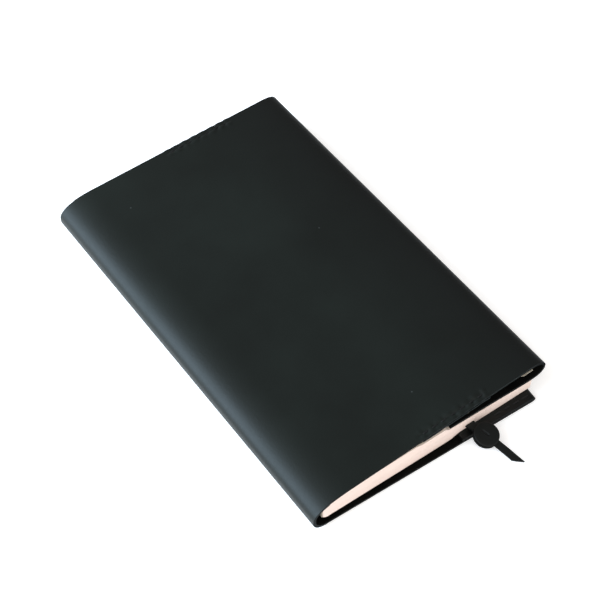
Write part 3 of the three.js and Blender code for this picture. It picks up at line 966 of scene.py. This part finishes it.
STRAP_ANCHOR = Vector((-46.0 * MM, 88.9 * MM, 0.0))
STRAP_LEAVES = Vector((18.75 * MM, -93.35 * MM, 0.0))
STRAP_HEIGHTS = ((0.0, 5.45), (0.6, 5.37), (20.5, 1.42), (24.3, 1.0), (26.0, 1.0))  # along and up, in mm
STRAP_TAIL = 24.3 * MM  # length of the free end
STOPPER_AT = 6.75 * MM  # from where the strap leaves the pages to the stopper's middle


def strap_bend(distance):
    """Direction of the free end in plan, as an angle from -Y."""
    turn = math.atan2(STRAP_LEAVES.x - STRAP_ANCHOR.x, STRAP_ANCHOR.y - STRAP_LEAVES.y)
    return turn - math.radians(9.7) * distance / (24.0 * MM)


def strap_frame(distance):
    """Place and direction in plan of the bookmark's free end, which curves a little."""
    here = STRAP_LEAVES.xy
    travelled = 0.0
    while travelled < distance - 1e-9:
        hop = min(0.5 * MM, distance - travelled)
        bend = strap_bend(travelled)
        here += Vector((math.sin(bend), -math.cos(bend))) * hop
        travelled += hop
    bend = strap_bend(distance)
    return here, Vector((math.sin(bend), -math.cos(bend)))


def strap_height(distance):
    """Height of the middle of the free end: down from the pages to the table, by way of the stopper."""
    total = 0.0
    around = (-1.2, -0.6, 0.0, 0.6, 1.2)
    for offset in around:
        at = max(0.0, distance / MM + offset)
        for (d0, z0), (d1, z1) in zip(STRAP_HEIGHTS, STRAP_HEIGHTS[1:]):
            if at <= d1 or d1 == STRAP_HEIGHTS[-1][0]:
                total += z0 + (z1 - z0) * clamp((at - d0) / (d1 - d0))
                break
    start_lift = 0.075 * max(0.0, 1.0 - distance / (1.2 * MM))
    return (total / len(around) + start_lift) * MM


def onto_strap(flat):
    """Puts a point given along, across and above the flat strap where it goes on the curved, narrowing one."""
    here, direction = strap_frame(max(0.0, flat.x))
    slope = (strap_height(flat.x + 0.5 * MM) - strap_height(max(0.0, flat.x - 0.5 * MM))) / MM
    up = Vector((-slope * direction.x, -slope * direction.y, 1.0)).normalized()
    side = Vector((-direction.y, direction.x, 0.0))
    narrowing = 1.0 - 0.2 * clamp(flat.x / (10.0 * MM))
    middle = Vector((here.x, here.y, strap_height(max(0.0, flat.x))))
    return middle + side * flat.y * narrowing + up * flat.z


class NOTEBOOK_OT_bookmark(bpy.types.Operator):
    """Build the strap bookmark: the part inside the notebook and its free end"""

    bl_idname = "notebook.bookmark"
    bl_label = "Bookmark"

    def execute(self, context):
        size = settings().bookmark
        inside_length = (STRAP_LEAVES - STRAP_ANCHOR).length
        along = (STRAP_LEAVES - STRAP_ANCHOR).normalized()
        across = Vector((-along.y, along.x, 0.0))
        side = STRAP_ANCHOR - across * size.width / 2.0
        heights = [(0.0, 2.02), (2.4, 2.02), (3.4, 2.5), (4.6, 4.6), (5.6, 5.3), (7.0, 5.45)]
        heights += [(d / MM, 5.45) for d in spaced(20.0 * MM, inside_length, 20.0 * MM)]
        line = [side + along * d * MM + Vector((0.0, 0.0, z * MM)) for d, z in heights]
        inside = sheet_surface("bookmark_inside", line, [across * size.width / 4.0] * 4, (0.0, 0.0, 1.0))
        thicken(inside, size.thickness, LEATHER_SLOTS)
        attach(inside, "back")
        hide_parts("bookmark_strap")

        half = size.width / 2.0
        line = [(distance, -half, 0.0) for distance in spaced(0.0, STRAP_TAIL, 0.6 * MM)]
        tail = sheet_surface("bookmark_tail_end", line, [(0.0, size.width / 8.0, 0.0)] * 8, (0.0, 0.0, 1.0))
        bpy.ops.object.mode_set(mode="EDIT")
        bpy.ops.mesh.select_all(action="SELECT")
        across_tip = Vector((3.9 * MM, size.width, 0.0)).normalized()
        bpy.ops.mesh.bisect(
            plane_co=(STRAP_TAIL, half, 0.0), plane_no=(across_tip.y, -across_tip.x, 0.0), clear_outer=True
        )
        bpy.ops.object.mode_set(mode="OBJECT")
        thicken(tail, size.thickness, LEATHER_SLOTS)
        reshape(tail, onto_strap)
        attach(tail, "bookmark")
        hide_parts("bookmark_tail")

        anchor = STRAP_ANCHOR + along * 1.3 * MM + Vector((0.0, 0.0, 2.55 * MM))
        turn = math.atan2(across.y, across.x)
        stitch_row("bookmark_anchor_thread", [anchor], turn, 0.1 * MM, "back", "bookmark_anchor_stitch")
        return {"FINISHED"}


DISC_THICKNESS = 0.75 * MM


def stopper_disc(name, offset, node, slit):
    """One round of leather, domed a little, on the bookmark's free end."""
    size = settings().bookmark
    here, direction = strap_frame(STOPPER_AT)
    height = strap_height(STOPPER_AT)
    slope = (strap_height(9.0 * MM) - strap_height(4.5 * MM)) / (4.5 * MM)
    start()
    bpy.ops.mesh.primitive_cylinder_add(vertices=72, radius=size.disc, depth=DISC_THICKNESS, end_fill_type="NGON")
    piece = bpy.context.object
    piece.name = name
    bpy.ops.object.mode_set(mode="EDIT")
    bpy.ops.mesh.select_mode(type="FACE")
    bpy.ops.mesh.select_all(action="DESELECT")
    bpy.ops.object.mode_set(mode="OBJECT")
    for polygon in piece.data.polygons:
        polygon.select = abs(polygon.normal.z) > 0.9
    bpy.ops.object.mode_set(mode="EDIT")
    for inset in (0.12, 0.25, 0.7, 0.7, 0.7, 0.7, 0.7):
        bpy.ops.mesh.inset(thickness=inset * MM, depth=0.0, use_individual=True)
    bpy.ops.mesh.poke()
    bpy.ops.object.mode_set(mode="OBJECT")
    turn = math.atan2(direction.y, direction.x)

    def shape(place_now):
        reach = place_now.xy.length / size.disc
        upper = place_now.z > 0.0
        dome = 0.16 * MM * (1.0 - min(1.0, reach) ** 2)
        edge = -0.13 * MM if upper else 0.13 * MM
        z = place_now.z + (dome if upper else 0.3 * dome)
        z += edge * max(0.0, (reach - 0.97) / 0.03)
        z += 0.04 * MM * noise.noise(place_now * 500.0)
        return Vector((place_now.x, place_now.y, z))

    reshape(piece, shape)
    if slit:
        cut_slit(piece)
    tilt = Matrix.Rotation(-math.atan(slope), 4, "Y")
    matrix = Matrix.Translation((here.x, here.y, height)) @ Matrix.Rotation(turn, 4, "Z") @ tilt
    piece.matrix_world = matrix @ Matrix.Translation((0.0, 0.0, offset))
    for polygon in piece.data.polygons:
        polygon.material_index = 1 if abs(polygon.normal.z) < 0.5 else 0
    start()
    piece.select_set(True)
    bpy.context.view_layer.objects.active = piece
    bpy.ops.object.transform_apply(location=True, rotation=True, scale=True)
    piece.data.materials.append(finish("leather"))
    piece.data.materials.append(finish("cut_edge"))
    bpy.ops.object.shade_smooth_by_angle(angle=math.radians(40.0))
    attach(piece, "stopper")
    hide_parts(node)


def cut_slit(piece):
    """Presses the slit that the strap passes through into a disc's upper face."""
    size = settings().bookmark

    def press(place_now):
        if place_now.z < 0.0:
            return place_now
        along = abs(place_now.x + 0.7 * MM) / (size.width * 0.45)
        across = abs(place_now.y - 0.1 * MM) / (0.3 * MM)
        if along > 1.0:
            return place_now
        depth = 0.5 * MM * math.exp(-(across**2)) * (1.0 - along**4)
        return place_now - Vector((0.0, 0.0, depth))

    bpy.context.view_layer.objects.active = piece
    bpy.ops.object.mode_set(mode="EDIT")
    bpy.ops.mesh.select_mode(type="VERT")
    cut_across([place_mm * MM for place_mm in spaced(-0.6, 0.8, 0.14)], (0.0, 1.0, 0.0))
    cut_across([place_mm * MM for place_mm in spaced(-2.8, 1.4, 0.35)], (1.0, 0.0, 0.0))
    bpy.ops.object.mode_set(mode="OBJECT")
    reshape(piece, press)


class NOTEBOOK_OT_stopper(bpy.types.Operator):
    """Build the round stopper: two rounds of leather with the strap between them"""

    bl_idname = "notebook.stopper"
    bl_label = "Stopper"

    def execute(self, context):
        clearance = 0.12 * MM
        apart = settings().bookmark.thickness / 2.0 + clearance + DISC_THICKNESS / 2.0
        stopper_disc("stopper_lower_round", -apart, "stopper_disc_lower", False)
        stopper_disc("stopper_upper_round", apart, "stopper_disc_upper", True)
        return {"FINISHED"}


def dim_side(tree, background):
    """Makes the room darker on the far side, where the smooth leather mirrors it."""
    direction = tree.nodes.new("ShaderNodeTexCoord")
    toward = tree.nodes.new("ShaderNodeVectorMath")
    toward.operation = "DOT_PRODUCT"
    toward.inputs[1].default_value = Vector((0.62, 0.36, 0.60)).normalized()
    tree.links.new(direction.outputs["Generated"], toward.inputs[0])
    fade = tree.nodes.new("ShaderNodeMapRange")
    fade.interpolation_type = "SMOOTHSTEP"
    fade.inputs["From Min"].default_value = 0.25
    fade.inputs["From Max"].default_value = 0.95
    fade.inputs["To Min"].default_value = 1.18
    fade.inputs["To Max"].default_value = 0.30
    tree.links.new(toward.outputs["Value"], fade.inputs["Value"])
    tree.links.new(fade.outputs["Result"], background.inputs["Strength"])


class NOTEBOOK_OT_stage(bpy.types.Operator):
    """Set up the table, the light and the camera"""

    bl_idname = "notebook.stage"
    bl_label = "Stage"

    def execute(self, context):
        start()
        bpy.ops.mesh.primitive_plane_add(size=8.0, location=(0.0, 0.0, -0.0001))
        table = context.object
        table.name = "table"
        table.data.materials.append(finish("floor"))

        world = bpy.data.worlds.new("room")
        context.scene.world = world
        world.use_nodes = True
        background = world.node_tree.nodes["Background"]
        background.inputs["Color"].default_value = (1.0, 0.985, 0.965, 1.0)
        dim_side(world.node_tree, background)

        where = Vector((-1.15, 0.62, 0.66))
        bpy.ops.object.light_add(type="AREA", location=where)
        window = context.object
        window.name = "window"
        window.data.shape = "RECTANGLE"
        window.data.size = 1.3
        window.data.size_y = 1.2
        window.data.energy = 42.0
        window.data.color = (0.60, 0.81, 1.0)
        window.rotation_euler = (-where).to_track_quat("-Z", "Y").to_euler()

        right = Vector((0.8031, -0.5958, 0.0))
        up = Vector((0.4797, 0.6467, 0.5930))
        forward = Vector((0.3533, 0.4763, -0.8052))
        bpy.ops.object.camera_add(location=(-0.2051, -0.2824, 0.4749))
        camera = context.object
        camera.rotation_euler = Matrix((right, up, -forward)).transposed().to_euler()
        camera.data.sensor_width = 36.0
        camera.data.lens = 83.7
        camera.data.shift_x = -0.0007
        camera.data.shift_y = 0.0012
        context.scene.camera = camera
        context.scene.view_settings.view_transform = "Standard"
        return {"FINISHED"}


OPERATORS = (
    NOTEBOOK_OT_back_leather,
    NOTEBOOK_OT_spine_leather,
    NOTEBOOK_OT_front_leather,
    NOTEBOOK_OT_retaining_band,
    NOTEBOOK_OT_stitches,
    NOTEBOOK_OT_card_cover,
    NOTEBOOK_OT_pages,
    NOTEBOOK_OT_bookmark,
    NOTEBOOK_OT_stopper,
    NOTEBOOK_OT_stage,
)


class NOTEBOOK_PT_panel(bpy.types.Panel):
    """Lists the steps that build the notebook cover"""

    bl_idname = "NOTEBOOK_PT_panel"
    bl_label = "Notebook Cover"
    bl_space_type = "VIEW_3D"
    bl_region_type = "UI"
    bl_category = "Notebook"

    def draw(self, context):
        for operator in OPERATORS:
            self.layout.operator(operator.bl_idname)


PROPERTY_GROUPS = (
    LeatherSettings,
    NotebookSettings,
    StitchSettings,
    BookmarkSettings,
    FinishSettings,
    NotebookScene,
)
CLASSES = PROPERTY_GROUPS + OPERATORS + (NOTEBOOK_PT_panel,)


def register():
    """Registers the classes and the scene's settings."""
    for cls in CLASSES:
        bpy.utils.register_class(cls)
    bpy.types.Scene.notebook_cover = PointerProperty(type=NotebookScene)


def unregister():
    """Removes the settings and the classes."""
    del bpy.types.Scene.notebook_cover
    for cls in reversed(CLASSES):
        bpy.utils.unregister_class(cls)


def main():
    """Builds everything in order."""
    register()
    bpy.ops.notebook.back_leather()
    bpy.ops.notebook.spine_leather()
    bpy.ops.notebook.front_leather()
    bpy.ops.notebook.retaining_band()
    bpy.ops.notebook.stitches()
    bpy.ops.notebook.card_cover()
    bpy.ops.notebook.pages()
    bpy.ops.notebook.bookmark()
    bpy.ops.notebook.stopper()
    bpy.ops.notebook.stage()
    start()


if __name__ == "__main__":
    main()
